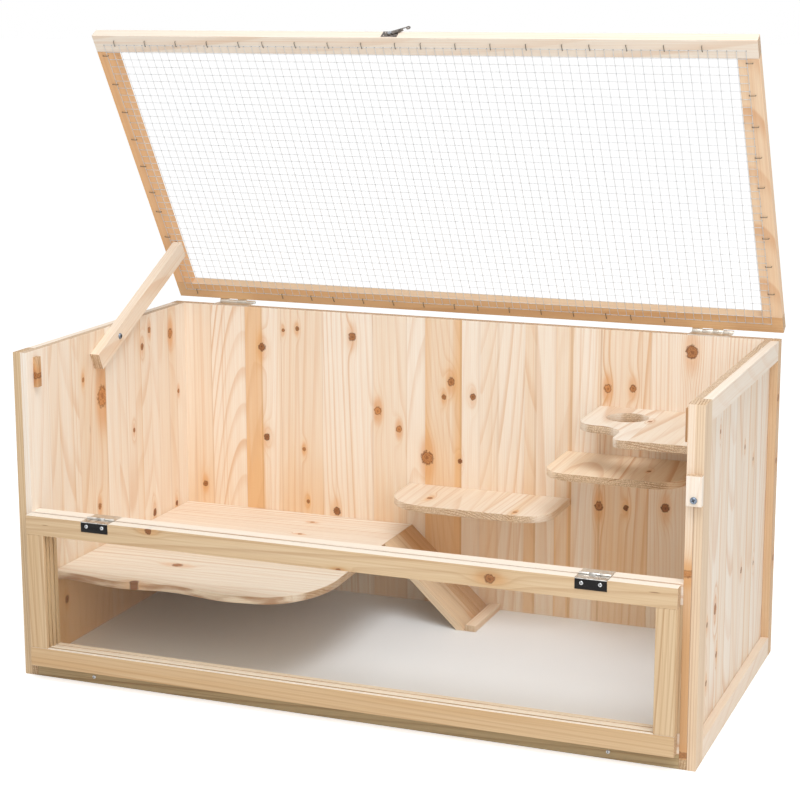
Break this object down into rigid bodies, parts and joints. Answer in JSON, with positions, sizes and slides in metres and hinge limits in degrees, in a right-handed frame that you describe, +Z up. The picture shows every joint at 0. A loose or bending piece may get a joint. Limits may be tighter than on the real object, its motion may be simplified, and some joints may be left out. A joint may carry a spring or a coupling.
{
  "type": "hamster cage",
  "caption": "Long softwood small-animal cage with a propped mesh lid, fold-down clear front flap, platform, ramp and wall shelves.",
  "frame": {"origin": "centre of the case's footprint, on the ground (underside of the middle floor bearer)", "axes": "+X along the case's length, towards the side with the turn button; +Y from the front with the flap to the back panel; +Z up"},
  "size_m": [1.0003, 0.5457, 0.9353],
  "materials": {
    "wood_frame": "bare planed softwood",
    "wood_orange": "bare planed softwood",
    "wood_panel": "bare planed softwood",
    "wood_dark": "bare planed softwood",
    "wood_front": "bare planed softwood",
    "wood_shelf": "bare planed softwood",
    "floor_white": "white coated board",
    "clear_pane": "clear acrylic sheet",
    "mesh_zinc": "galvanised wire",
    "hinge_dark": "dark lacquered steel",
    "steel_bright": "zinc-plated steel"
  },
  "bodies": {
    "case": {"left_frame_rails": "wood_frame", "left_frame_stiles": "wood_frame", "left_boards": "wood_panel", "left_sill": "wood_dark", "right_frame_rails": "wood_frame", "right_frame_stiles": "wood_orange", "right_boards": "wood_panel", "right_sill": "wood_dark", "back_panel": "wood_panel", "floor_board": "floor_white", "floor_bearers": "wood_dark", "base_rail": "wood_dark", "window_rails": "wood_front", "window_stiles": "wood_front", "window_pane": "clear_pane", "stop_blocks": "wood_shelf", "platform": "wood_shelf", "platform_battens": "wood_dark", "ramp": "wood_shelf", "ramp_foot": "wood_shelf", "shelf_low": "wood_shelf", "shelf_mid": "wood_shelf", "shelf_top": "wood_shelf", "case_screws": "steel_bright", "bar_hinge_leaves": "steel_bright", "flap_hinge_pins": "steel_bright", "bar_hinge_screws": "steel_bright", "back_hinge_leaves": "steel_bright", "lid_hinge_pins": "steel_bright", "back_hinge_screws": "steel_bright", "button_screw": "steel_bright"},
    "flap": {"flap_rails": "wood_front", "flap_stiles": "wood_front", "flap_pane": "clear_pane", "flap_hinge_leaves": "hinge_dark", "flap_hinge_screws": "steel_bright", "latch_peg": "steel_bright"},
    "lid": {"lid_rails": "wood_frame", "lid_stiles": "wood_orange", "mesh_long_wires": "mesh_zinc", "mesh_cross_wires": "mesh_zinc", "mesh_staples": "mesh_zinc", "lid_hinge_leaves": "steel_bright", "lid_hinge_screws": "steel_bright", "latch_plate": "hinge_dark", "latch_rivet": "steel_bright"},
    "latch": {"latch_hook": "hinge_dark"},
    "prop": {"prop_strut": "wood_shelf", "prop_screw": "steel_bright"},
    "button": {"turn_button": "wood_shelf"}
  },
  "joints": [
    {"name": "lid_hinge", "type": "hinge", "parent": "case", "child": "lid", "pos_m": [0, 0.2627, 0.4827], "axis": [1, 0, 0], "range_deg": [0, 58.8]},
    {"name": "flap_hinge", "type": "hinge", "parent": "case", "child": "flap", "pos_m": [0, -0.2495, 0.249], "axis": [-1, 0, 0], "range_deg": [0, 180]},
    {"name": "prop_turn", "type": "hinge", "parent": "lid", "child": "prop", "pos_m": [-0.47, 0.19962, 0.58549], "axis": [1, 0, 0], "range_deg": [-85.6, 0]},
    {"name": "latch_turn", "type": "hinge", "parent": "lid", "child": "latch", "pos_m": [-0.021, 0.0061, 0.92435], "axis": [0, 0.518, -0.8554], "range_deg": [0, 123]},
    {"name": "button_turn", "type": "hinge", "parent": "case", "child": "button", "pos_m": [0.4903, -0.252, 0.361], "axis": [0, -1, 0], "range_deg": [0, 90]}
  ],
  "couplings": [
    {"joint": "prop_turn", "follows": "lid_hinge", "ratio": -1.4558}
  ]
}
